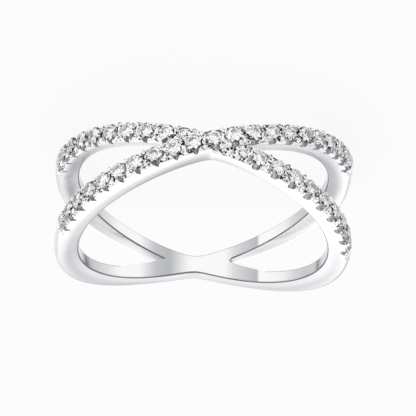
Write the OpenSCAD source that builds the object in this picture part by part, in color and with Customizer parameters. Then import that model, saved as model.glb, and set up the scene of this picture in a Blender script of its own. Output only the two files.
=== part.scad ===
// Crossover ring: two strands of polished white metal wind round one finger hole.
// They cross at the front, where small round stones are set in them, and at the back.
// The ring lies on its side: +Z runs along the finger, the front crossing faces -Y,
// and the origin is on the finger's axis, in the plane that the ring rests on.
// Angles run round the finger from the front crossing and grow towards +X.

/* [Band] */
// Inside diameter, where the finger goes
inner_d = 17.3; // [16:0.1:19]
// Thickness of the upper strand at the front crossing, with its stones
over_front_t = 2.5; // [2.3:0.05:2.7]
// Thickness of the lower strand at the front crossing, with its stones
under_front_t = 1.9; // [1.7:0.05:2.1]
// Thickness of the upper strand at the sides
over_side_t = 1.7; // [1.6:0.05:2]
// Thickness of the lower strand at the sides
under_side_t = 1.65; // [1.5:0.05:1.8]
// Thickness of the metal at the back
back_t = 1.1; // [0.9:0.05:1.5]
// Width of the flat inner face of a strand
inner_w = 0.88; // [0.8:0.02:1]
// Width of a strand under its stones
front_w = 1.42; // [1.36:0.01:1.44]
// Width of a strand's plain metal at its widest, behind the stones
side_w = 1.78; // [1.72:0.02:1.9]
// How far that wide metal leans away from the ring's middle plane
side_lean = 0.08; // [0:0.02:0.1]
// Width of a strand at the back
back_w = 1.04; // [1:0.02:1.3]
// Height of a strand's middle above the ring's middle plane, at the side of the ring
strand_rise = 2.78; // [2.5:0.01:3]

/* [Stones] */
// Diameter of a main stone
stone_d = 1.2; // [1.1:0.01:1.22]
// Diameter of the two small stones tucked in beside the front crossing
accent_d = 0.7; // [0.6:0.05:0.75]
// Angle from one stone of the upper strand to the next
over_pitch = 7.35; // [7.3:0.05:7.5]
// Stones on each half of the upper strand, beside the one at the crossing
over_half = 10; // [6:1:10]
// Angle from one stone of the lower strand to the next
under_pitch = 8.2; // [8:0.05:8.25]
// Stones on each half of the lower strand
under_half = 9; // [6:1:9]
// Angle of the lower strand's first stone
under_first = 18.2; // [18:0.1:18.6]
// Angle of the small stones
accent_at = 11.9; // [11.6:0.1:12]
// How far the small stones sit away from the upper strand
accent_off = 0.12; // [0.1:0.01:0.2]

/* [Setting] */
// Radius of a bead that holds the stones
bead_r = 0.2; // [0.16:0.01:0.21]
// Distance from a strand's middle line to a bead's middle
bead_off = 0.52; // [0.5:0.01:0.54]
// Width of the cut in the side walls under a stone
cut_w = 0.56; // [0.4:0.02:0.6]
// Depth of that cut, from the girdle down
cut_h = 0.62; // [0.4:0.02:0.7]
// Gap between a stone and its seat
seat_gap = 0.03; // [0.02:0.01:0.05]

/* [Hidden] */
inner_r = inner_d / 2;
over = 1;
under = -1;

// Stone proportions, as shares of its diameter
crown_share = 0.15;
table_share = 0.56;
depth_share = 0.43;
girdle_sides = 16;
seat_sides = 12;
bead_sides = 6;

// The metal between the stones lies this far below their girdles
pave_drop = 0.12;
step_turn = 1.5;

// The strand grows wide between the first two angles, and falls away to the back between the others
swell_from = 40;
swell_to = 104;
taper_from = 110;
taper_to = 166;

// Crown of the outer face: nearly flat under the stones, round where the metal is plain
pave_crown = 0.05;
plain_crown = 0.5;
back_crown = 0.35;

// Rounding of the inner edges where the strands cross, at the front and the back
front_waist = 0.12;
back_waist = 0.157;
// Radius of the two notches beside the back crossing, and how much the waist lifts their corners
notch_r = 0.26;
notch_sides = 24;
apex_lift = 0.03;

// How far the web between the strands lies below their outer face, and behind their inner one
web_sink = 0.15;
web_inset = 0.04;

ring_step = 6;
pave_rings = 14;
side_levels = [0, 0.33, 0.67, 1];
// Across the crown, from the edge in: [share of the half-width, share of the drop]
crown_levels = [[0.8, 0.45], [0.4, 0]];

white_metal = [0.86, 0.87, 0.89];
clear_stone = [0.93, 0.96, 1];

function two_digits(i) = str(i < 10 ? "0" : "", i);
function over_name(i) = str("over_stone_", two_digits(i));
function under_name(i) = str("under_stone_", two_digits(i));
over_total = 2 * over_half + 1;
under_total = 2 * under_half;

// Stone angles, counted from the -X side to the +X side
function over_angle(i) = (i - 1 - over_half) * over_pitch;
function under_angle(i) = i <= under_half
    ? -(under_first + (under_half - i) * under_pitch)
    : under_first + (i - 1 - under_half) * under_pitch;
function pave_end(s) = s == over
    ? over_pitch * (over_half + 0.5)
    : under_first + under_pitch * (under_half - 0.5);

// Ring maths: shares between 0 and 1, and the strand's path
function ease(x) = let (t = min(1, max(0, x))) t * t * (3 - 2 * t);
function mix(a, b, t) = a + (b - a) * t;
function off_front(a) = abs(a > 180 ? a - 360 : a);
function turn(arc) = arc / inner_r * 180 / PI;
function strand_z(a, s) = s * strand_rise * sin(a);
function slant(a, s, r) = atan(s * strand_rise * cos(a) / r);
function back_share(a) = ease((off_front(a) - taper_from) / (taper_to - taper_from));

// Outer radius at the stones' tops, thickest at the front crossing and thin at the back
function front_t(s) = s == over ? over_front_t : under_front_t;
function side_t(s) = s == over ? over_side_t : under_side_t;
function top_r(a, s) = inner_r + (off_front(a) < 90
    ? mix(side_t(s), front_t(s), cos(a))
    : mix(side_t(s), back_t, back_share(a)));
function girdle_r(a, s) = top_r(a, s) - crown_share * stone_d;

// The metal's own outer radius and crown: lower between the stones, with a step up to the plain sides
function in_pave(a, s) = off_front(a) <= pave_end(s) + 0.01;
function outer_r(a, s) = in_pave(a, s) ? girdle_r(a, s) - pave_drop : top_r(a, s);
function crown_drop(a, s) = in_pave(a, s) ? pave_crown : mix(plain_crown, back_crown, back_share(a));
function side_share(a) = ease((off_front(a) - swell_from) / (swell_to - swell_from));
function outer_half(a) = mix(mix(front_w, side_w, side_share(a)), back_w, back_share(a)) / 2;

// A strand grows wider at its crossings, so that the edges meet in a round waist
function waist(a, s) =
    let (size = cos(a) > 0 ? front_waist : back_waist)
    norm([strand_z(a, s), size]) - abs(strand_z(a, s));

// Half of a strand's section, from the inner face out: [radius, distance from the middle line]
function half_section(a, s) =
    let (
        k = norm([1, strand_rise * cos(a) / inner_r]),
        wi = inner_w / 2 * k,
        wo = outer_half(a) * k,
        top = outer_r(a, s),
        drop = crown_drop(a, s),
        more = waist(a, s),
        front = cos(a) > 0 ? 1 : 0
    )
    concat(
        [for (u = side_levels) [
            mix(inner_r, top - drop, u),
            mix(wi, wo, sin(90 * u)) + more * (1 - front * u)]],
        [for (q = crown_levels) [top - drop * q[1], q[0] * (wo + more * (1 - front))]]);

// The strand leans outwards at the sides, the more the further out
function lean_at(a, s, r) = sign(strand_z(a, s)) * side_lean * side_share(a) * (1 - back_share(a))
    * (r - inner_r) / (top_r(a, s) - inner_r);

// The ring's middle plane is as high as a strand reaches below it
mid_z = max([for (s = [over, under]) for (a = strand_angles(s)) for (p = half_section(a, s))
    abs(strand_z(a, s) + lean_at(a, s, p[0])) + p[1]]);

function section(a, s) =
    let (half = half_section(a, s), n = len(half), z = [for (p = half) mid_z + strand_z(a, s) + lean_at(a, s, p[0])])
    concat(
        [for (i = [0:n - 1]) [half[i][0], z[i] + half[i][1]]],
        [for (i = [n - 1:-1:0]) [half[i][0], z[i] - half[i][1]]]);

function round_at(a, p) = [p[0] * sin(a), -p[0] * cos(a), p[1]];

function strand_angles(s) =
    let (e = pave_end(s))
    concat(
        [for (i = [-pave_rings:pave_rings]) e * i / pave_rings],
        [for (a = [e + step_turn:ring_step:360 - e - step_turn - ring_step / 2]) a],
        [360 - e - step_turn]);

// Joins sections of [radius, height] ring to ring, each at its own angle round the finger
module sweep(angles, rings, closed = false) {
    n = len(rings[0]);
    m = len(rings);
    points = [for (i = [0:m - 1]) for (p = rings[i]) round_at(angles[i], p)];
    walls = [for (i = [0:closed ? m - 1 : m - 2]) for (j = [0:n - 1])
        let (i2 = (i + 1) % m, j2 = (j + 1) % n)
        for (t = [[i * n + j, i2 * n + j2, i * n + j2], [i * n + j, i2 * n + j, i2 * n + j2]]) t];
    caps = closed ? [] : [[for (j = [0:n - 1]) j], [for (j = [n - 1:-1:0]) (m - 1) * n + j]];
    polyhedron(points, concat(walls, caps));
}

// One strand, all the way round
module strand(s) {
    angles = strand_angles(s);
    sweep(angles, [for (a = angles) section(a, s)], true);
}

// Moves to a strand's middle line: X runs along the strand, Y across it, Z away from the finger
module on_strand(a, s, r) {
    rotate([0, 0, a])
        translate([0, -r, mid_z + strand_z(a, s)])
            rotate([90, 0, 0])
                rotate([0, 0, slant(a, s, r)])
                    children();
}

// A brilliant stone: flat table, eight main crown facets with girdle facets between, pointed below
module brilliant(d) {
    table_r = table_share * d / 2;
    n = girdle_sides;
    table = [for (i = [0:2:n - 1]) [table_r * cos(360 * i / n), table_r * sin(360 * i / n), crown_share * d]];
    girdle = [for (i = [0:n - 1]) [d / 2 * cos(360 * i / n), d / 2 * sin(360 * i / n), 0]];
    m = len(table);
    culet = m + n;
    faces = concat(
        [[for (i = [m - 1:-1:0]) i]],
        [for (i = [0:m - 1])
            let (g = m + 2 * i, g1 = m + (2 * i + 1) % n, g2 = m + (2 * i + 2) % n, i2 = (i + 1) % m)
            for (t = [[i, g1, g], [i, i2, g1], [i2, g2, g1]]) t],
        [for (i = [0:n - 1]) [m + i, m + (i + 1) % n, culet]]);
    polyhedron(concat(table, girdle, [[0, 0, -depth_share * d]]), faces);
}

module main_stone(a, s) {
    color(clear_stone) on_strand(a, s, girdle_r(a, s)) brilliant(stone_d);
}

// The small stones lie on the side of the lower strand that is away from the upper one
module at_accent(half) {
    on_strand(half * accent_at, under, girdle_r(accent_at, under)) translate([0, -half * accent_off, 0]) children();
}

module accent_stone(half) {
    color(clear_stone) at_accent(half) brilliant(accent_d);
}

// Room for a stone: its lower cone with the gap all round, and the girdle's edge
module seat(d) {
    r = (d / 2 + seat_gap) / cos(180 / seat_sides);
    depth = depth_share * d + seat_gap;
    translate([0, 0, -depth]) cylinder(h = depth, r1 = 0, r2 = r, $fn = seat_sides);
    cylinder(h = bead_r, r = r, $fn = seat_sides);
}

// The pointed cut across the strand, which opens both side walls under a stone
module side_cut() {
    rotate([90, 0, 0])
        linear_extrude(height = side_w, center = true)
            polygon([[-cut_w / 2, 0], [0, -cut_h], [cut_w / 2, 0]]);
}

module stone_room() {
    seat(stone_d);
    side_cut();
}

// A bead of metal at the strand's edge, reaching up beside two stones
module bead(a, s, side) {
    foot = 0.35;
    shoulder = 0.06;
    tip = 0.14;
    on_strand(a, s, girdle_r(a, s))
        translate([0, side * bead_off, 0])
            hull() {
                translate([0, 0, -foot]) cylinder(h = foot + shoulder, r = bead_r, $fn = bead_sides);
                cylinder(h = tip, r = bead_r / 2, $fn = bead_sides);
            }
}

module beads() {
    for (i = [0:over_total])
        for (side = [-1, 1])
            bead(over_angle(i + 0.5), over, side);
    for (half = [-1, 1]) {
        for (i = [0:under_half])
            for (side = i == 0 ? [-half] : [-1, 1])
                bead(half * (under_first + (i - 0.5) * under_pitch), under, side);
        bead(half * (accent_at - under_pitch / 2), under, -half);
    }
}

// Fills the pointed gap on each side of the back crossing, as far as a round notch
module back_web() {
    side_edge = atan(strand_rise / inner_r);
    apex = asin((inner_w / 2 / cos(side_edge) + apex_lift) / strand_rise);
    notch_at = apex + turn(notch_r / sin(side_edge));
    reach = notch_at - turn(notch_r * sin(side_edge));
    angles = concat([180 - reach], [for (i = [-2:2]) 180 + i * ring_step], [180 + reach]);
    difference() {
        sweep(angles, [for (a = angles)
            let (h = abs(strand_z(a, over)) + back_waist / 2, r = top_r(a, over) - web_sink)
            [for (q = [[inner_r + web_inset, -h], [inner_r + web_inset, h], [r, h], [r, -h]]) [q[0], mid_z + q[1]]]]);
        for (side = [-1, 1])
            on_strand(180 + side * notch_at, 0, inner_r - back_t)
                cylinder(h = 3 * back_t, r = notch_r, $fn = notch_sides);
    }
}

module band() {
    color(white_metal)
        difference() {
            union() {
                strand(over);
                strand(under);
                back_web();
                beads();
            }
            for (i = [1:over_total])
                on_strand(over_angle(i), over, girdle_r(over_angle(i), over)) stone_room();
            for (i = [1:under_total])
                on_strand(under_angle(i), under, girdle_r(under_angle(i), under)) stone_room();
            for (half = [-1, 1])
                at_accent(half) seat(accent_d);
        }
}

band();
for (i = [1:over_total])
    main_stone(over_angle(i), over);
for (i = [1:under_total])
    main_stone(under_angle(i), under);
accent_stone(1);  // accent_stone_left
accent_stone(-1);  // accent_stone_right
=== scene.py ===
import math
import random

import bpy
from mathutils import Matrix, Vector


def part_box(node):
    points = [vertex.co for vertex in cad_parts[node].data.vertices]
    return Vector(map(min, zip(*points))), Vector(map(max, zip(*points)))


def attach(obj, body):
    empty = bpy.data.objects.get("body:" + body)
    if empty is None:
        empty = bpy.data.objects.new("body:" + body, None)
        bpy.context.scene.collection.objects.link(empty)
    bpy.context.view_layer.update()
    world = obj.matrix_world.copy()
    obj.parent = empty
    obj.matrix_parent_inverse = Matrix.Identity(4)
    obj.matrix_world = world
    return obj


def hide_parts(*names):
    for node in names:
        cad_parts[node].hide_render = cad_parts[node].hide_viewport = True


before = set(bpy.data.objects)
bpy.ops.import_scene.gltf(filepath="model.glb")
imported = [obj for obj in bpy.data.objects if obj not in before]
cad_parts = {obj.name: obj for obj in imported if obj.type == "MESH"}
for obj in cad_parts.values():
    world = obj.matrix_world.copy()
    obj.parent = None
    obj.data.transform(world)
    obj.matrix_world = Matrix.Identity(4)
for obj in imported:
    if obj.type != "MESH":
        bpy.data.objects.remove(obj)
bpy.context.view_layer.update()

mm = 0.001
print("frame loaded:", len(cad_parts), "parts")


# The ring itself, in millimetres and degrees. Angles start at the front crossing and grow towards +X

bandLow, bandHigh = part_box("band")
ring = {
    "innerRadius": 8.65,
    "rise": 2.78,                   # how far a strand climbs from the middle plane to the side
    "thickFront": {1: 2.5, -1: 1.9},    # 1 is the upper strand, -1 the lower one
    "thickSide": {1: 1.7, -1: 1.65},
    "thickBack": 1.1,
    "innerWidth": 0.88,
    "frontWidth": 1.42,
    "sideWidth": 1.78,
    "sideLean": 0.08,
    "backWidth": 1.04,
    "swell": (40, 104),             # the strand grows wide between these angles
    "taper": (110, 166),            # and thin between these
    "waist": {"front": 0.14, "back": 0.2},
    "middle": (bandLow.z + bandHigh.z) / 2 / mm,
}

stones = {
    "size": 1.2,
    "accentSize": 0.7,
    "crown": 0.15,                  # shares of the stone's width
    "table": 0.57,
    "pavilion": 0.43,
    "girdle": 0.02,
    "paintedDarkShare": 0.56,             # of the facets beside the rim, painted black as painted dark reflections
    "pitch": {1: 7.35, -1: 8.2},
    "half": {1: 10, -1: 9},         # stones on each side of the crossing
    "lowerFirst": 18.2,
    "accentAt": 11.9,
    "accentOff": 0.12,
}


def ease(x):
    x = min(1.0, max(0.0, x))
    return x * x * (3 - 2 * x)


def mix(a, b, t):
    return a + (b - a) * t


def offFront(a):
    return abs((a + 180) % 360 - 180)


def between(a, span):
    return ease((offFront(a) - span[0]) / (span[1] - span[0]))


def strandZ(a, s):
    return s * ring["rise"] * math.sin(math.radians(a))


def topRadius(a, s):    # tops of the stones, or of the plain metal
    side = ring["thickSide"][s]
    if offFront(a) < 90:
        thick = mix(side, ring["thickFront"][s], math.cos(math.radians(a)))
    else:
        thick = mix(side, ring["thickBack"], between(a, ring["taper"]))
    return ring["innerRadius"] + thick


def girdleRadius(a, s):
    return topRadius(a, s) - stones["crown"] * stones["size"]


def paveEnd(s):
    if s == 1:
        return stones["pitch"][1] * (stones["half"][1] + 0.5)
    return stones["lowerFirst"] + stones["pitch"][-1] * (stones["half"][-1] - 0.5)


def onStrand(a, s, r):    # X along the strand, Y across it, Z away from the finger
    slant = math.degrees(math.atan2(s * ring["rise"] * math.cos(math.radians(a)), r))
    return (Matrix.Rotation(math.radians(a), 4, "Z")
            @ Matrix.Translation((0, -r, ring["middle"] + strandZ(a, s)))
            @ Matrix.Rotation(math.radians(90), 4, "X")
            @ Matrix.Rotation(math.radians(slant), 4, "Z"))


# Mesh helpers

def newObject(name, points, faces, material=None):
    mesh = bpy.data.meshes.new(name)
    mesh.from_pydata([tuple(c * mm for c in p) for p in points], [], faces)
    mesh.validate()
    mesh.update()
    obj = bpy.data.objects.new(name, mesh)
    bpy.context.scene.collection.objects.link(obj)
    if material:
        mesh.materials.append(material)
    return obj


class Pieces:    # collects many small closed shapes into one mesh
    def __init__(self):
        self.points, self.faces = [], []

    def add(self, points, faces, place):
        start = len(self.points)
        self.points += [place @ Vector(p) for p in points]
        self.faces += [[start + i for i in f] for f in faces]


def lathe(profile, sides):    # profile is [(radius, height)], closed at both ends on the axis
    points, faces, rows = [], [], []
    for radius, height in profile:
        if radius == 0:
            rows.append([len(points)])
            points.append((0, 0, height))
            continue
        rows.append(list(range(len(points), len(points) + sides)))
        for i in range(sides):
            t = 2 * math.pi * i / sides
            points.append((radius * math.cos(t), radius * math.sin(t), height))
    for low, high in zip(rows, rows[1:]):
        for i in range(sides):
            j = (i + 1) % sides
            if len(low) == 1:
                faces.append((low[0], high[j], high[i]))
            elif len(high) == 1:
                faces.append((low[i], low[j], high[0]))
            else:
                faces.append((low[i], low[j], high[j], high[i]))
    return points, faces


def prism(outline, length):    # an outline in X and Z, run along Y
    n = len(outline)
    points = [(x, side * length / 2, z) for side in (-1, 1) for x, z in outline]
    faces = [tuple(range(n)), tuple(range(2 * n - 1, n - 1, -1))]
    faces += [(i + n, (i + 1) % n + n, (i + 1) % n, i) for i in range(n)]
    return points, faces


def combine(target, tool, how):
    cut = target.modifiers.new(how, "BOOLEAN")
    cut.operation = how
    cut.solver = "MANIFOLD"
    cut.object = tool
    cut.material_mode = "TRANSFER"
    bpy.context.view_layer.update()
    made = bpy.data.meshes.new_from_object(target.evaluated_get(bpy.context.evaluated_depsgraph_get()))
    target.modifiers.remove(cut)
    old = target.data
    target.data = made
    bpy.data.meshes.remove(old)
    bpy.data.objects.remove(tool)


# Materials

def socketGroup(name, inputs, outputs):
    group = bpy.data.node_groups.new(name, "ShaderNodeTree")
    for label, kind, value in inputs:
        group.interface.new_socket(label, in_out="INPUT", socket_type=kind).default_value = value
    for label, kind in outputs:
        group.interface.new_socket(label, in_out="OUTPUT", socket_type=kind)
    return group, group.nodes.new("NodeGroupInput"), group.nodes.new("NodeGroupOutput")


def addNode(tree, kind, **settings):
    made = tree.nodes.new(kind)
    for key, value in settings.items():
        setattr(made, key, value)
    return made


def fadeNode(tree, source, span, ends):    # a soft step of the source over the span
    made = addNode(tree, "ShaderNodeMapRange", interpolation_type="SMOOTHSTEP")
    for label, value in zip(("From Min", "From Max", "To Min", "To Max"), (*span, *ends)):
        made.inputs[label].default_value = value
    tree.links.new(source, made.inputs["Value"])
    return made.outputs["Result"]


def mathNode(tree, operation, a, b=None):
    made = addNode(tree, "ShaderNodeMath", operation=operation)
    for slot, value in zip(made.inputs, (a, b)):
        if isinstance(value, (int, float)):
            slot.default_value = value
        elif value is not None:
            tree.links.new(value, slot)
    return made.outputs[0]


polish = {
    "hazeScale": 420,               # per metre
    "hazeDetail": 3,
    "lineScale": (900, 900, 9000),  # hairlines run round the finger
    "lineDepth": 0.000004,
}


def polishGroup():    # hairlines and soft haze of a buffed surface
    group, give, take = socketGroup(
        "buffedPolish",
        [("Roughness", "NodeSocketFloat", 0.05), ("Haze", "NodeSocketFloat", 0.03),
         ("Hairlines", "NodeSocketFloat", 0.2), ("Tint", "NodeSocketColor", (0.95, 0.95, 0.96, 1)),
         ("Shade", "NodeSocketColor", (0.9, 0.9, 0.92, 1))],
        [("Color", "NodeSocketColor"), ("Roughness", "NodeSocketFloat"), ("Normal", "NodeSocketVector")])
    links = group.links
    place = addNode(group, "ShaderNodeTexCoord")
    haze = addNode(group, "ShaderNodeTexNoise")
    haze.inputs["Scale"].default_value = polish["hazeScale"]
    haze.inputs["Detail"].default_value = polish["hazeDetail"]
    links.new(place.outputs["Object"], haze.inputs["Vector"])
    rough = mathNode(group, "MULTIPLY", haze.outputs["Fac"], give.outputs["Haze"])
    links.new(mathNode(group, "ADD", rough, give.outputs["Roughness"]), take.inputs["Roughness"])
    tone = addNode(group, "ShaderNodeMix", data_type="RGBA")
    links.new(haze.outputs["Fac"], tone.inputs["Factor"])
    links.new(give.outputs["Tint"], tone.inputs["A"])
    links.new(give.outputs["Shade"], tone.inputs["B"])
    links.new(tone.outputs["Result"], take.inputs["Color"])
    stretch = addNode(group, "ShaderNodeMapping")
    stretch.inputs["Scale"].default_value = polish["lineScale"]
    links.new(place.outputs["Object"], stretch.inputs["Vector"])
    lines = addNode(group, "ShaderNodeTexNoise")
    lines.inputs["Scale"].default_value = 1
    links.new(stretch.outputs["Vector"], lines.inputs["Vector"])
    bump = addNode(group, "ShaderNodeBump")
    bump.inputs["Distance"].default_value = polish["lineDepth"]
    links.new(give.outputs["Hairlines"], bump.inputs["Strength"])
    links.new(lines.outputs["Fac"], bump.inputs["Height"])
    links.new(bump.outputs["Normal"], take.inputs["Normal"])
    return group


darkSpeckFade = (0.95, 1.05)             # a cut facet is painted dark, as a painted dark reflection, over this much of its chance


def speckCutGroup():    # the small bright-cut facets that a graver leaves between the stones: bumped facets, some painted dark as painted reflections
    group, give, take = socketGroup(
        "graverCutsPaintedSpecks",
        [("Size", "NodeSocketFloat", 0.00015), ("Depth", "NodeSocketFloat", 0.00003),
         ("Painted Dark Share", "NodeSocketFloat", 0.5),
         ("Tint", "NodeSocketColor", (0.8, 0.8, 0.82, 1)), ("Shade", "NodeSocketColor", (0.3, 0.3, 0.32, 1))],
        [("Color", "NodeSocketColor"), ("Normal", "NodeSocketVector")])
    links = group.links
    place = addNode(group, "ShaderNodeTexCoord")
    cells = addNode(group, "ShaderNodeTexVoronoi")
    links.new(place.outputs["Object"], cells.inputs["Vector"])
    links.new(mathNode(group, "DIVIDE", 1.0, give.outputs["Size"]), cells.inputs["Scale"])
    tone = addNode(group, "ShaderNodeMix", data_type="RGBA")
    split = addNode(group, "ShaderNodeSeparateXYZ")
    links.new(cells.outputs["Color"], split.inputs[0])
    past = mathNode(group, "ADD", split.outputs["X"], give.outputs["Painted Dark Share"])
    links.new(fadeNode(group, past, darkSpeckFade, (0, 1)), tone.inputs["Factor"])
    links.new(give.outputs["Tint"], tone.inputs["A"])
    links.new(give.outputs["Shade"], tone.inputs["B"])
    links.new(tone.outputs["Result"], take.inputs["Color"])
    bump = addNode(group, "ShaderNodeBump")
    links.new(give.outputs["Depth"], bump.inputs["Distance"])
    links.new(cells.outputs["Distance"], bump.inputs["Height"])
    links.new(bump.outputs["Normal"], take.inputs["Normal"])
    return group


insidePaintedReflections = [    # painted reflections on the inside face: (angle round the finger, how dark)
    (0, 0.55), (100, 0.6), (118, 0.88), (126, 0.6), (133, 0.4), (141, 0.05), (153, 0.03),
    (161, 0.72), (168, 0.85), (175, 0.23), (178, 0), (194, 0.02), (198.5, 0.45), (203, 0.62),
    (210, 0.85), (210.6, 0), (218, 0.02), (225, 0.15), (231, 0.5), (239, 0.68), (360, 0.55),
]
wallPaintedReflections = {    # painted reflections, the same for the side walls above and below the middle, beside the finger and further out
    "upper": [(0, 0.4), (12, 0.62), (30, 0.7), (60, 0.62), (85, 0.45), (110, 0.5), (130, 0.55),
              (155, 0.55), (180, 0.45), (205, 0.55), (235, 0.5), (255, 0.3), (272, 0.3),
              (300, 0.2), (340, 0.2), (352, 0.3), (360, 0.4)],
    "lower": [(0, 0.3), (30, 0.3), (60, 0.75), (85, 0.8), (110, 0.35), (152, 0), (164, 1),
              (176, 0), (205, 0), (245, 0.2), (262, 0.85), (285, 1), (310, 0.85), (340, 0.5),
              (360, 0.3)],
    "upperOuter": [(0, 0), (60, 0.05), (80, 0.3), (100, 0.45), (125, 0.45), (160, 0.35),
                   (180, 0.25), (200, 0.4), (235, 0.45), (265, 0.3), (290, 0.05), (360, 0)],
    "lowerOuter": [(0, 0), (60, 0.05), (80, 0.3), (100, 0.6), (120, 0.35), (135, 0.1),
                   (150, 0), (250, 0), (265, 0.2), (290, 0.05), (360, 0)],
}
paintedReflectionFade = {
    "inner": (0.2, 1.5),            # the painted reflections beside the finger go over these distances from it, in mm
    "outer": (0.2, 0.8),            # and those further out come
    "height": 1.0,                  # mm to each side of the middle, from the lower painted reflections to the upper
    "upward": (-0.1, 0.25),         # only walls that face up have painted reflections, from this height of the normal to that
}


def rampNode(tree, source, paintedTones, curve="B_SPLINE"):
    ramp = addNode(tree, "ShaderNodeValToRGB")
    ramp.color_ramp.interpolation = curve
    stops = ramp.color_ramp.elements
    for i, (at, dark) in enumerate(paintedTones):    # a new ramp has its first and last stops already
        stop = stops[0] if i == 0 else stops[-1] if i == len(paintedTones) - 1 else stops.new(at / 360)
        stop.color = (dark, dark, dark, 1)
    tree.links.new(source, ramp.inputs["Fac"])
    return ramp.outputs["Color"]


def roomReflectionPaintGroup():    # painted reflections: light and dark stretches standing for what the band would pick up from the room, as masks
    masks = [("Inside", "NodeSocketFloat"), ("Wall", "NodeSocketFloat")]
    group, give, take = socketGroup("roomPaintedReflections", [], masks)
    place = addNode(group, "ShaderNodeTexCoord")
    split = addNode(group, "ShaderNodeSeparateXYZ")
    group.links.new(place.outputs["Object"], split.inputs[0])
    front = mathNode(group, "MULTIPLY", split.outputs["Y"], -1.0)
    turns = mathNode(group, "DIVIDE", mathNode(group, "ARCTAN2", split.outputs["X"], front), 2 * math.pi)
    turned = mathNode(group, "FRACT", mathNode(group, "ADD", turns, 1.0))
    group.links.new(rampNode(group, turned, insidePaintedReflections, "LINEAR"), take.inputs["Inside"])
    squares = [mathNode(group, "POWER", split.outputs[axis], 2.0) for axis in "XY"]
    across = mathNode(group, "SQRT", mathNode(group, "ADD", *squares))
    middle, height = ring["middle"] * mm, paintedReflectionFade["height"] * mm
    above = fadeNode(group, split.outputs["Z"], (middle - height, middle + height), (0, 1))
    below = mathNode(group, "SUBTRACT", 1.0, above)

    def paintedWallPart(key, ends, high, low):
        upper = mathNode(group, "MULTIPLY", above, rampNode(group, turned, wallPaintedReflections[high]))
        lower = mathNode(group, "MULTIPLY", below, rampNode(group, turned, wallPaintedReflections[low]))
        span = [(ring["innerRadius"] + d) * mm for d in paintedReflectionFade[key]]
        reach = fadeNode(group, across, span, ends)
        return mathNode(group, "MULTIPLY", reach, mathNode(group, "ADD", upper, lower))

    near = paintedWallPart("inner", (1, 0), "upper", "lower")
    far = paintedWallPart("outer", (0, 1), "upperOuter", "lowerOuter")
    facing = addNode(group, "ShaderNodeSeparateXYZ")
    group.links.new(addNode(group, "ShaderNodeNewGeometry").outputs["Normal"], facing.inputs[0])
    upward = fadeNode(group, facing.outputs["Z"], paintedReflectionFade["upward"], (0, 1))
    group.links.new(mathNode(group, "MULTIPLY", mathNode(group, "ADD", near, far), upward), take.inputs["Wall"])
    return group


buffed = polishGroup()
paintedSpecks = speckCutGroup()
roomReflectionPaint = roomReflectionPaintGroup()


def metal(name, tint, shade, roughness, haze, hairlines, tone=None):
    material = bpy.data.materials.new(name)
    material.use_nodes = True
    tree = material.node_tree
    shader = tree.nodes["Principled BSDF"]
    shader.inputs["Metallic"].default_value = 1
    surface = addNode(tree, "ShaderNodeGroup", node_tree=buffed)
    surface.inputs["Roughness"].default_value = roughness
    surface.inputs["Haze"].default_value = haze
    surface.inputs["Hairlines"].default_value = hairlines
    surface.inputs["Tint"].default_value = (*tint, 1)
    surface.inputs["Shade"].default_value = (*shade, 1)
    color = surface.outputs["Color"]
    # painted reflections: the colour mixes towards the tone's dark colour by a mask from the room group
    if tone:
        paintedTones = addNode(tree, "ShaderNodeGroup", node_tree=roomReflectionPaint)
        mixed = addNode(tree, "ShaderNodeMix", data_type="RGBA")
        tree.links.new(paintedTones.outputs[tone[0]], mixed.inputs["Factor"])
        tree.links.new(color, mixed.inputs["A"])
        mixed.inputs["B"].default_value = (*tone[1], 1)
        color = mixed.outputs["Result"]
    tree.links.new(color, shader.inputs["Base Color"])
    tree.links.new(surface.outputs["Roughness"], shader.inputs["Roughness"])
    tree.links.new(surface.outputs["Normal"], shader.inputs["Normal"])
    return material


def speckedMetal(name, tint, shade, size, depth, share, roughness):
    material = bpy.data.materials.new(name)
    material.use_nodes = True
    tree = material.node_tree
    shader = tree.nodes["Principled BSDF"]
    shader.inputs["Metallic"].default_value = 1
    shader.inputs["Roughness"].default_value = roughness
    facets = addNode(tree, "ShaderNodeGroup", node_tree=paintedSpecks)
    facets.inputs["Size"].default_value = size
    facets.inputs["Depth"].default_value = depth
    facets.inputs["Painted Dark Share"].default_value = share
    facets.inputs["Tint"].default_value = (*tint, 1)
    facets.inputs["Shade"].default_value = (*shade, 1)
    tree.links.new(facets.outputs["Color"], shader.inputs["Base Color"])
    tree.links.new(facets.outputs["Normal"], shader.inputs["Normal"])
    return material


finishes = {
    # polished and inside get painted reflections: the tone darkens their colour by the named mask
    "polished": {"tint": (0.965, 0.967, 0.975), "shade": (0.945, 0.948, 0.96),
                 "roughness": 0.18, "haze": 0.03, "hairlines": 0.1, "tone": ("Wall", (0.36, 0.365, 0.39))},
    "inside": {"tint": (1, 1, 1), "shade": (0.98, 0.98, 0.99),
               "roughness": 0.06, "haze": 0.04, "hairlines": 0.15, "tone": ("Inside", (0.4, 0.41, 0.44))},
    # edge: painted dark line, for the dark that the rounded inner edges reflect; it also paints shade on the
    # notch's cut faces
    "edge": {"tint": (0.22, 0.22, 0.24), "shade": (0.14, 0.14, 0.16),
             "roughness": 0.1, "haze": 0.04, "hairlines": 0.1},
    # recess: painted shade, darker than the polished metal, for the faces of the side cuts
    "recessShaded": {"tint": (0.9, 0.9, 0.93), "shade": (0.6, 0.6, 0.64),
               "roughness": 0.22, "haze": 0.1, "hairlines": 0.3},
}
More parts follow.
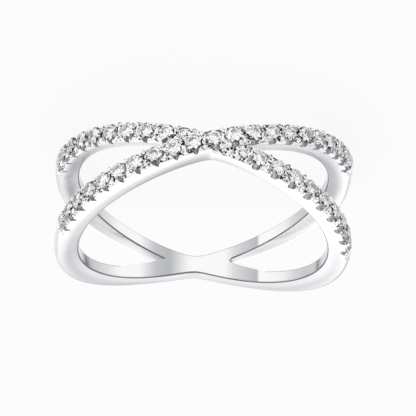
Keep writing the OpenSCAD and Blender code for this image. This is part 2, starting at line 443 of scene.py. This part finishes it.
# the cut metals: some cells painted nearly black as painted dark reflections, around the stones and on the
# beads
paintedSpeckFinishes = {
    "bead": {"tint": (0.93, 0.93, 0.94), "shade": (0.2, 0.2, 0.22), "size": 0.00012, "depth": 0.00002,
             "share": 0.2, "roughness": 0.06},
    "seat": {"tint": (0.98, 0.98, 0.98), "shade": (0.02, 0.02, 0.02), "size": 0.00016, "depth": 0.00002,
             "share": 0.3, "roughness": 0.08},
    "pave": {"tint": (0.96, 0.96, 0.97), "shade": (0.03, 0.03, 0.035), "size": 0.00014, "depth": 0.00003,
             "share": 0.32, "roughness": 0.06},
}
polished = metal("polishedWhiteMetal", **finishes["polished"])
inside = metal("insideOfBand", **finishes["inside"])
paintedDarkMetal = metal("paintedDarkMetal", **finishes["edge"])
recessShaded = metal("recessMetalPaintedShade", **finishes["recessShaded"])
beadMetalPaintedSpecks = speckedMetal("beadMetalPaintedSpecks", **paintedSpeckFinishes["bead"])
paveMetalPaintedSpecks = speckedMetal("paveMetalPaintedSpecks", **paintedSpeckFinishes["pave"])
seatMetalPaintedSpecks = speckedMetal("seatMetalPaintedSpecks", **paintedSpeckFinishes["seat"])


def stoneMaterial(name, tone, index):
    material = bpy.data.materials.new(name)
    material.use_nodes = True
    shader = material.node_tree.nodes["Principled BSDF"]
    shader.inputs["Base Color"].default_value = (tone, tone, tone, 1)
    shader.inputs["Roughness"].default_value = 0
    shader.inputs["IOR"].default_value = index
    shader.inputs["Transmission Weight"].default_value = 1
    return material


stoneFinishes = {
    "clearStone": {"tone": 1, "index": 2.4},
    "clearStoneRimPaintedDark": {"tone": 0.01, "index": 1.3},    # facets beside the rim, painted nearly black for the dark they would reflect
}
clear, paintedDarkRim = [stoneMaterial(name, **values) for name, values in stoneFinishes.items()]
print("materials made:", len(bpy.data.materials))


# The band: two strands swept round the finger, joined, then cut for the stones

section = {
    "innerEdge": 0.12,              # rounding of the edges beside the finger
    "wallBow": 1.35,                # 1 is a straight side wall, more is bowed
    "crown": {"side": 0.5, "back": 0.35},
    "fullness": 2.3,                # 2 is round, more is squarer
    "ledgeDrop": 0.41,              # stone tops down to the ledge
    "rowWidth": 1.26,               # the row of stones, above the ledge
    "floorDrop": 0.12,              # girdles down to the metal between the stones
    "edge": 0.03,
    "rampTurn": 2.4,                # the plain metal rises over this angle behind the row
    "sharpFrom": 40,                # degrees between faces that stay sharp
    "innerArc": (0, 18, 36, 54, 68),    # degrees of the rounding that are drawn
    "innerFlat": (0.5, 1.6),        # points on the flat, as a share of it and in roundings from its edge
    "soften": (0.3, 0.5),           # shares of the edge size that take the corners off
}
sweep = {
    "step": 1.5,                    # degrees
    "gap": 0.4,                     # no two sections are closer than this beside a row's end
    "wallSteps": 8,
    "crownSteps": 9,
    "insideFaces": 4,               # faces of half a section on the inside of the band
    "paintedDarkFaces": (3, 1),            # next to them, on the rounded edges, above and below, painted dark as a painted reflection
    "rowFaces": 6,                  # and in the row of stones
}
bandMetals = (polished, inside, paveMetalPaintedSpecks, paintedDarkMetal)
plainSlot, insideSlot, rowSlot, paintedDarkSlot = range(4)    # their places on the band


def waist(a, s):
    size = ring["waist"]["front" if math.cos(math.radians(a)) > 0 else "back"]
    z = abs(strandZ(a, s))
    return math.hypot(z, size) - z


def halfWidth(a):
    wide = mix(ring["frontWidth"], ring["sideWidth"], between(a, ring["swell"]))
    return mix(wide, ring["backWidth"], between(a, ring["taper"])) / 2


def slantShare(a):    # a strand that climbs is wider along the finger by this share
    return math.hypot(1, ring["rise"] * math.cos(math.radians(a)) / ring["innerRadius"])


def innerPart(k, more):    # flat inside face and its rounded edge, as [(radius, half-width)]
    f = section["innerEdge"]
    w = ring["innerWidth"] / 2 * k + more
    r = ring["innerRadius"]
    share, inset = section["innerFlat"]
    arc = [math.radians(t) for t in section["innerArc"]]
    flat = [(r, 0), (r, w * share), (r, w - inset * f)]
    return flat + [(r + f - f * math.cos(t), w - f + f * math.sin(t)) for t in arc]


def wallPoints(start, end):    # the bowed side wall, without its start
    made = []
    for i in range(1, sweep["wallSteps"] + 1):
        u = i / sweep["wallSteps"]
        made.append((mix(start[0], end[0], u), mix(start[1], end[1], 1 - (1 - u) ** section["wallBow"])))
    return made


def plainHalf(a, s):
    k = slantShare(a)
    front = math.cos(math.radians(a)) > 0
    more = waist(a, s)
    wide = halfWidth(a) * k + (0 if front else more)
    top = topRadius(a, s)
    drop = mix(section["crown"]["side"], section["crown"]["back"], between(a, ring["taper"]))
    points = innerPart(k, more)
    points += wallPoints(points[-1], (top - drop, wide))
    share = 2 / section["fullness"]
    for i in range(1, sweep["crownSteps"] + 1):
        t = math.pi / 2 * i / sweep["crownSteps"]
        points.append((top - drop + drop * math.sin(t) ** share, wide * max(0.0, math.cos(t)) ** share))
    return points


def pavedHalf(a, s):
    k = slantShare(a)
    wide = halfWidth(a) * k
    ledge = topRadius(a, s) - section["ledgeDrop"]
    row = section["rowWidth"] / 2 * k
    floor = girdleRadius(a, s) - section["floorDrop"]
    e = section["edge"]
    c, d = (share * e for share in section["soften"])
    points = innerPart(k, waist(a, s))
    points += wallPoints(points[-1], (ledge - e, wide))
    points += [(ledge - c, wide - c), (ledge, wide - e), (ledge, row + d), (ledge + d, row)]
    points += [(floor - e, row), (floor - c, row - c), (floor, row - e), (floor, row / 2), (floor, 0)]
    return points


def strandAngles():    # the same for both strands, so that their inside faces match
    ends = sorted(paveEnd(s) + d for s in (1, -1) for d in (0, section["rampTurn"] / 2, section["rampTurn"]))
    angles = [sweep["step"] * i for i in range(int(180 / sweep["step"]) + 1)]
    angles = [a for a in angles if all(abs(a - e) > sweep["gap"] for e in ends)] + ends
    angles.sort()
    return [-a for a in reversed(angles[1:-1])] + angles


def strandSections(s):
    rows = []
    for a in strandAngles():
        share = min(1.0, max(0.0, (offFront(a) - paveEnd(s)) / section["rampTurn"]))
        paved, plain = pavedHalf(a, s), plainHalf(a, s)
        half = [(mix(p[0], q[0], share), mix(p[1], q[1], share)) for p, q in zip(paved, plain)]
        sign = 1 if strandZ(a, s) > 0 else -1
        lean = sign * ring["sideLean"] * between(a, ring["swell"]) * (1 - between(a, ring["taper"]))
        full = topRadius(a, s) - ring["innerRadius"]
        row = []
        for side, part in ((1, half), (-1, half[-2:0:-1])):
            for r, h in part:
                z = strandZ(a, s) + ring["middle"] + lean * (r - ring["innerRadius"]) / full + side * h
                row.append((r, z))
        rows.append((a, row))
    return rows


def strand(s):
    rows = strandSections(s)
    n, m = len(rows[0][1]), len(rows)
    points = []
    for a, row in rows:
        t = math.radians(a)
        points += [(r * math.sin(t), -r * math.cos(t), z) for r, z in row]
    faces, slots = [], []
    half = n // 2
    for i in range(m):
        paved = all(offFront(rows[j % m][0]) < paveEnd(s) + sweep["gap"] / 2 for j in (i, i + 1))
        for j in range(n):
            i2, j2 = (i + 1) % m, (j + 1) % n
            faces.append((i * n + j, i * n + j2, i2 * n + j2, i2 * n + j))
            deep = min(j, n - 1 - j)    # counted from the middle of the inside to the middle of the outside
            if deep < sweep["insideFaces"]:
                slots.append(insideSlot)
            elif deep < sweep["insideFaces"] + sweep["paintedDarkFaces"][0 if j < half else 1]:
                slots.append(paintedDarkSlot)
            elif paved and deep >= half - sweep["rowFaces"]:
                slots.append(rowSlot)
            else:
                slots.append(plainSlot)
    made = newObject("strand", points, faces)
    for metalPart in bandMetals:
        made.data.materials.append(metalPart)
    made.data.polygons.foreach_set("material_index", slots)
    return made


web = {
    "sink": 0.3,                    # below the strands' outer face
    "tips": (14.2, 16.9),           # degrees from the back crossing, +X side first, where the windows start
    # upper edges of the windows, as (angle, height)
    "edges": ([(14.2, -0.22), (17.1, 0.0), (22.1, 0.3), (32.8, 0.93), (38, 1.3)],
              [(16.9, -0.08), (20.4, 0.22), (28.8, 0.78), (34, 1.15)]),
    "roundAt": (16.9, -0.2),        # the second window starts round
    "roundRadius": 0.13,
    "roundSides": 32,
    "reach": 2,                     # of the round tool, to each side of the inside face
    "overlap": 0.05,                # into the strands
}


def lineHeight(line, off):
    for (a, z), (b, y) in zip(line, line[1:]):
        if off <= b:
            return mix(z, y, (off - a) / (b - a))
    return line[-1][1]


def webPart(spans):    # a sweep of four-sided sections from [(angle, low, high)]
    points, faces = [], []
    for a, low, high in spans:
        t, top = math.radians(a), topRadius(a, 1) - web["sink"]
        for r, z in ((ring["innerRadius"], low), (ring["innerRadius"], high), (top, high), (top, low)):
            points.append((r * math.sin(t), -r * math.cos(t), z + ring["middle"]))
    for i in range(len(spans) - 1):
        for j in range(4):
            k = (j + 1) % 4
            faces.append((i * 4 + j, i * 4 + k, i * 4 + 4 + k, i * 4 + 4 + j))
    last = len(points) - 4
    faces += [(3, 2, 1, 0), (last, last + 1, last + 2, last + 3)]
    made = newObject("web", points, faces)
    for metalPart in bandMetals[:2]:    # it has no row and no edges
        made.data.materials.append(metalPart)
    slots = [insideSlot if i % 4 == 0 else plainSlot for i in range(len(faces) - 2)]
    made.data.polygons.foreach_set("material_index", slots + [plainSlot] * 2)
    return made


def backWeb():    # fills the narrow gap on each side of the back crossing, as far as the windows
    grid = [sweep["step"] * i for i in range(int(180 / sweep["step"]))]
    plus, minus = web["tips"]
    offs = [-plus] + [-g for g in reversed(grid[1:]) if g < plus] + [g for g in grid if g < minus] + [minus]
    lap, reach = web["overlap"], web["reach"]
    made = webPart([(180 + o, -abs(strandZ(o, 1)) - lap, abs(strandZ(o, 1)) + lap) for o in offs])
    for side, line in zip((-1, 1), web["edges"]):
        offs = [line[0][0] - 1] + [g for g in grid if line[0][0] < g < line[-1][0]] + [line[-1][0]]
        spans = [(180 + side * o, lineHeight(line, max(o, line[0][0])), abs(strandZ(o, 1)) + lap) for o in offs]
        combine(made, webPart(spans if side > 0 else spans[::-1]), "UNION")
    r, (off, z) = web["roundRadius"], web["roundAt"]
    tool = Pieces()
    tool.add(*lathe([(0, -reach), (r, -reach), (r, reach), (0, reach)], web["roundSides"]),
             onStrand(180 + off, 0, ring["innerRadius"]) @ Matrix.Translation((0, z, 0)))
    # the notch's cut faces take the painted dark metal, as painted shade
    combine(made, newObject("notch", tool.points, tool.faces, paintedDarkMetal), "DIFFERENCE")
    return made


def stonePlaces():    # [(CAD node, angle, strand, place, width)]
    places = []
    for s, label in ((1, "over"), (-1, "under")):
        half, pitch = stones["half"][s], stones["pitch"][s]
        if s == 1:
            angles = [i * pitch for i in range(-half, half + 1)]
        else:
            side = [stones["lowerFirst"] + i * pitch for i in range(half)]
            angles = [-a for a in reversed(side)] + side
        for i, a in enumerate(angles):
            place = onStrand(a, s, girdleRadius(a, s))
            places.append((f"{label}_stone_{i + 1:02d}", a, s, place, stones["size"]))
    for half, label in ((1, "left"), (-1, "right")):
        a = stones["accentAt"] * half
        place = onStrand(a, -1, girdleRadius(a, -1)) @ Matrix.Translation((0, -half * stones["accentOff"], 0))
        places.append((f"accent_stone_{label}", a, -1, place, stones["accentSize"]))
    return places


beadShape = {
    "radius": 0.19,
    "off": 0.49,                    # from the middle of the row
    "tip": 0.11,                    # above the girdles
    "foot": 0.3,                    # below them
    "flat": 0.8,                    # height of its dome as a share of the radius
    "dome": (25, 50, 72),           # degrees up the dome that are drawn
    "sides": 12,
}


def beadPlaces():    # [(angle, strand, side)]
    places = []
    for i in range(-stones["half"][1] - 1, stones["half"][1] + 1):
        places += [(stones["pitch"][1] * (i + 0.5), 1, side) for side in (-1, 1)]
    for half in (-1, 1):
        for i in range(stones["half"][-1] + 1):
            a = half * (stones["lowerFirst"] + (i - 0.5) * stones["pitch"][-1])
            places += [(a, -1, side) for side in ((-half,) if i == 0 else (-1, 1))]
        places.append((half * (stones["accentAt"] - stones["pitch"][-1] / 2), -1, -half))
    return places


def beadMesh():
    r, tip, foot = beadShape["radius"], beadShape["tip"], beadShape["foot"]
    dome = r * beadShape["flat"]
    profile = [(0, -foot), (r, -foot), (r, tip - dome)]
    for t in beadShape["dome"]:
        profile.append((r * math.cos(math.radians(t)), tip - dome + dome * math.sin(math.radians(t))))
    profile.append((0, tip))
    pieces = Pieces()
    for a, s, side in beadPlaces():
        place = onStrand(a, s, girdleRadius(a, s)) @ Matrix.Translation((0, side * beadShape["off"], 0))
        pieces.add(*lathe(profile, beadShape["sides"]), place)
    return newObject("beads", pieces.points, pieces.faces, beadMetalPaintedSpecks)


cuts = {
    "gap": 0.025,                   # between a stone and its seat
    "width": 0.56,
    "depth": 0.6,
    "point": 0.03,                  # half the width of a pointed cut's tip
    "roundStep": 20,                # degrees between the corners of a round cut
    "above": 0.01,                  # cuts start this far above the girdles
    "rim": 0.01,                    # room above and below a girdle
    "seatTop": 0.4,                 # the tools end this far above the girdles
    "accentTop": 0.3,
    "seatSides": 24,
}


def seatMesh(s):    # room for the stones, which the beads lean over
    pieces = Pieces()
    gap, rim, top = cuts["gap"], cuts["rim"], cuts["seatTop"]
    for node, a, strandSide, place, size in stonePlaces():
        if strandSide != s or node.startswith("accent"):
            continue
        r, table = size / 2 + gap, stones["table"] * size / 2 + gap
        profile = [(0, -stones["pavilion"] * size - gap), (r, -rim), (r, stones["girdle"] * size + rim),
                   (table, stones["crown"] * size + gap), (table, top), (0, top)]
        pieces.add(*lathe(profile, cuts["seatSides"]), place)
    return newObject("seats", pieces.points, pieces.faces, seatMetalPaintedSpecks)


def accentSeats():
    pieces = Pieces()
    for node, a, s, place, size in stonePlaces():
        if node.startswith("accent"):
            r, top = size / 2 + cuts["gap"], cuts["accentTop"]
            profile = [(0, -stones["pavilion"] * size), (r, -cuts["rim"]), (r, top), (0, top)]
            pieces.add(*lathe(profile, cuts["seatSides"]), place)
    return newObject("accentSeats", pieces.points, pieces.faces, seatMetalPaintedSpecks)


def sideCuts(s):    # pointed on the left, round on the right
    w, d, tip, above = cuts["width"] / 2, cuts["depth"], cuts["point"], cuts["above"]
    pointed = [(-w, above), (-tip, -d), (tip, -d), (w, above)]
    low = d - w
    arc = [math.radians(t) for t in range(0, 181, cuts["roundStep"])]
    rounded = [(-w, above)] + [(-w * math.cos(t), -low - w * math.sin(t)) for t in arc] + [(w, above)]
    pieces = Pieces()
    for node, a, strandSide, place, size in stonePlaces():
        if strandSide == s and not node.startswith("accent"):
            outline = pointed if a > 0 else rounded
            pieces.add(*prism(outline, ring["sideWidth"]), place)
    # their cut faces take the painted shade of the recess metal
    return newObject("sideCuts", pieces.points, pieces.faces, recessShaded)


def makeBand():
    band = strand(1)
    combine(band, strand(-1), "UNION")
    combine(band, backWeb(), "UNION")
    combine(band, beadMesh(), "UNION")
    for s in (1, -1):
        combine(band, sideCuts(s), "DIFFERENCE")
        combine(band, seatMesh(s), "DIFFERENCE")
    combine(band, accentSeats(), "DIFFERENCE")
    band.name = "bandPolished"
    return band


band = makeBand()
band.data.shade_smooth()
band.data.set_sharp_from_angle(angle=math.radians(section["sharpFrom"]))
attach(band, "root")
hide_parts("band")
print("band made:", len(band.data.polygons), "faces", [m.name for m in band.data.materials])


# Stones: round brilliants with 57 facets

brilliantCut = {
    "star": 0.76,                   # corners halfway up the crown, as a share of the radius
    "low": 0.24,                    # and low on the pavilion
    "perEighth": 9,                 # facets in an eighth of the stone, after its table
    "rim": (2, 3, 4, 5),            # those of them beside the rim
    "seed": 12,
}


def brilliant(size):
    r = size / 2
    table, crown = stones["table"] * r, stones["crown"] * size
    depth, thick = stones["pavilion"] * size, stones["girdle"] * size
    star, low = brilliantCut["star"] * r, brilliantCut["low"] * r
    turn = math.radians(22.5)       # half of an eighth
    starZ = thick + (crown - thick) * (r - star * math.cos(turn)) / (r - table)
    lowZ = -depth * (1 - low * math.cos(turn) / r)
    points = []

    def ringOf(count, radius, z, start):
        first = len(points)
        for i in range(count):
            t = start + 2 * math.pi * i / count
            points.append((radius * math.cos(t), radius * math.sin(t), z))
        return [first + i for i in range(count)]

    tables = ringOf(8, table, crown, 0)
    stars = ringOf(8, star, starZ, turn)
    upper = ringOf(16, r, thick, 0)
    lower = ringOf(16, r, 0, 0)
    lows = ringOf(8, low, lowZ, turn)
    points.append((0, 0, -depth))
    culet = len(points) - 1
    faces = [tuple(tables)]
    for i in range(8):
        j, before = (i + 1) % 8, (i - 1) % 8
        main, middle, after = 2 * i, 2 * i + 1, (2 * i + 2) % 16
        faces.append((tables[i], stars[i], tables[j]))
        faces.append((tables[i], stars[before], upper[main], stars[i]))
        faces.append((stars[i], upper[main], upper[middle]))
        faces.append((stars[i], upper[middle], upper[after]))
        faces.append((upper[main], lower[main], lower[middle], upper[middle]))
        faces.append((upper[middle], lower[middle], lower[after], upper[after]))
        faces.append((lower[main], lows[i], lower[middle]))
        faces.append((lower[middle], lows[i], lower[after]))
        faces.append((culet, lows[i], lower[main], lows[before]))
    return points, faces


def makeStones():
    random.seed(brilliantCut["seed"])
    for node, a, s, place, size in stonePlaces():
        pieces = Pieces()
        spin = Matrix.Rotation(random.uniform(0, math.pi / 4), 4, "Z")
        pieces.add(*brilliant(size), place @ spin)
        stone = newObject("cut_" + node, pieces.points, pieces.faces, clear)
        stone.data.materials.append(paintedDarkRim)
        # facets beside the rim are painted nearly black at random, as painted dark reflections
        for face in stone.data.polygons:
            rim = (face.index - 1) % brilliantCut["perEighth"] in brilliantCut["rim"]
            if rim and random.random() < stones["paintedDarkShare"]:
                face.material_index = 1
        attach(stone, "root")
        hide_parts(node)


makeStones()
print("stones made")


# Floor, light and camera

studio = {
    "floorSize": 4.0,
    "floorGlow": 0.88,
    "floorTone": 0.06,              # low, so that the glow hides the shadow
    "poolEdge": (0.017, 0.12),      # the floor dims sideways between these distances, outside the picture
    "poolDim": 0.75,
    "floorRoughness": 0.9,
    "sky": 1.3,
    "dimSide": (-0.35, 0.25),       # the room is dim on the -X side, near the floor and overhead
    "dimLow": (0.0, 0.42, 0.3),     # from this height of the light's direction to that one, and its tone
    "dimHigh": (0.6, 0.9, 0.5),
    "dimOther": 0.25,               # share of that dimness on the +X side
    "cardTone": 0.015,              # the black card round the camera
    "cardAt": (0.06, -0.89, 0.45),
    "cardEdge": (0.985, 0.995),     # cosines: white outside the first, dark inside the second
    "flagTone": 0.03,               # small black flags in front, which the stones pick up as specks
    "flagScale": 2.4,
    "flagDetail": 1,
    "flagEdge": (0.59, 0.61),
    "flagFrom": (0.05, 0.35),       # how far round to the front they start
}


def makeFloor():
    h = studio["floorSize"] / 2 / mm
    floor = newObject("floor", [(-h, -h, 0), (h, -h, 0), (h, h, 0), (-h, h, 0)], [(0, 1, 2, 3)])
    material = bpy.data.materials.new("paleFloor")
    material.use_nodes = True
    tree = material.node_tree
    shader = tree.nodes["Principled BSDF"]
    tone = studio["floorTone"]
    shader.inputs["Base Color"].default_value = (tone, tone, tone, 1)
    shader.inputs["Roughness"].default_value = studio["floorRoughness"]
    shader.inputs["Emission Color"].default_value = (1, 1, 1, 1)
    where = addNode(tree, "ShaderNodeTexCoord")
    split = addNode(tree, "ShaderNodeSeparateXYZ")
    tree.links.new(where.outputs["Object"], split.inputs[0])
    aside = mathNode(tree, "ABSOLUTE", split.outputs["X"])
    glow = studio["floorGlow"]
    tree.links.new(fadeNode(tree, aside, studio["poolEdge"], (glow, glow * studio["poolDim"])),
                   shader.inputs["Emission Strength"])
    floor.data.materials.append(material)


def makeWorld():
    world = bpy.data.worlds.new("studio")
    bpy.context.scene.world = world
    world.use_nodes = True
    tree = world.node_tree
    back = tree.nodes["Background"]
    back.inputs["Color"].default_value = (1, 1, 1, 1)
    where = addNode(tree, "ShaderNodeTexCoord")
    split = addNode(tree, "ShaderNodeSeparateXYZ")
    tree.links.new(where.outputs["Generated"], split.inputs[0])
    low, high = studio["dimLow"], studio["dimHigh"]
    near = fadeNode(tree, split.outputs["Z"], low[:2], (1 - low[2], 0))
    over = fadeNode(tree, split.outputs["Z"], high[:2], (0, 1 - high[2]))
    aside = fadeNode(tree, split.outputs["X"], studio["dimSide"], (1, studio["dimOther"]))
    dim = mathNode(tree, "MULTIPLY", mathNode(tree, "ADD", near, over), aside)
    sky = mathNode(tree, "MULTIPLY", mathNode(tree, "SUBTRACT", 1.0, dim), studio["sky"])
    toward = addNode(tree, "ShaderNodeVectorMath", operation="DOT_PRODUCT")
    tree.links.new(where.outputs["Generated"], toward.inputs[0])
    toward.inputs[1].default_value = Vector(studio["cardAt"]).normalized()
    card = fadeNode(tree, toward.outputs["Value"], studio["cardEdge"], (1, studio["cardTone"]))
    cells = addNode(tree, "ShaderNodeTexNoise")
    cells.inputs["Scale"].default_value = studio["flagScale"]
    cells.inputs["Detail"].default_value = studio["flagDetail"]
    tree.links.new(where.outputs["Generated"], cells.inputs["Vector"])
    spots = fadeNode(tree, cells.outputs["Fac"], studio["flagEdge"], (0, 1 - studio["flagTone"]))
    front = fadeNode(tree, mathNode(tree, "MULTIPLY", split.outputs["Y"], -1.0), studio["flagFrom"], (0, 1))
    flags = mathNode(tree, "SUBTRACT", 1.0, mathNode(tree, "MULTIPLY", spots, front))
    light = mathNode(tree, "MULTIPLY", mathNode(tree, "MULTIPLY", sky, card), flags)
    tree.links.new(light, back.inputs["Strength"])


view = {
    "around": 3.7,                  # degrees from the ring's front towards +X
    "above": 26.6,                  # degrees over the floor
    "roll": 180.35,                 # the photo shows the end that lies on the floor at the top
    "pixelsPerMm": 14.38,
    "centre": (203.25, 208.75),     # where the ring's middle shows, in pixels of the 416 frame
    "frame": 416,
    "lens": 1400,                   # nearly no perspective, as in the photo
    "sensor": 36,
    "clip": 100,                    # it sees from the distance divided by this to the distance times this
}


def makeCamera():
    data = bpy.data.cameras.new("camera")
    camera = bpy.data.objects.new("camera", data)
    bpy.context.scene.collection.objects.link(camera)
    data.lens = view["lens"]
    data.sensor_width = view["sensor"]
    wide = view["frame"] / view["pixelsPerMm"] * mm
    distance = wide * view["lens"] / view["sensor"]
    a, e = math.radians(view["around"]), math.radians(view["above"])
    out = Vector((math.sin(a) * math.cos(e), -math.cos(a) * math.cos(e), math.sin(e)))
    turn = (-out).to_track_quat("-Z", "Y").to_matrix() @ Matrix.Rotation(math.radians(view["roll"]), 3, "Z")
    perPixel = wide / view["frame"]
    dx = (view["centre"][0] - view["frame"] / 2) * perPixel
    dy = (view["frame"] / 2 - view["centre"][1]) * perPixel
    middle = Vector((0, 0, ring["middle"] * mm))
    stand = middle + out * distance - turn @ Vector((dx, dy, 0))
    camera.matrix_world = Matrix.Translation(stand) @ turn.to_4x4()
    data.clip_start = distance / view["clip"]
    data.clip_end = distance * view["clip"]
    bpy.context.scene.camera = camera


makeFloor()
makeWorld()
makeCamera()
scene = bpy.context.scene
scene.view_settings.view_transform = "Standard"
scene.cycles.max_bounces = 24       # light turns many times inside a stone
scene.cycles.glossy_bounces = 16
scene.cycles.transmission_bounces = 16
print("stage made")
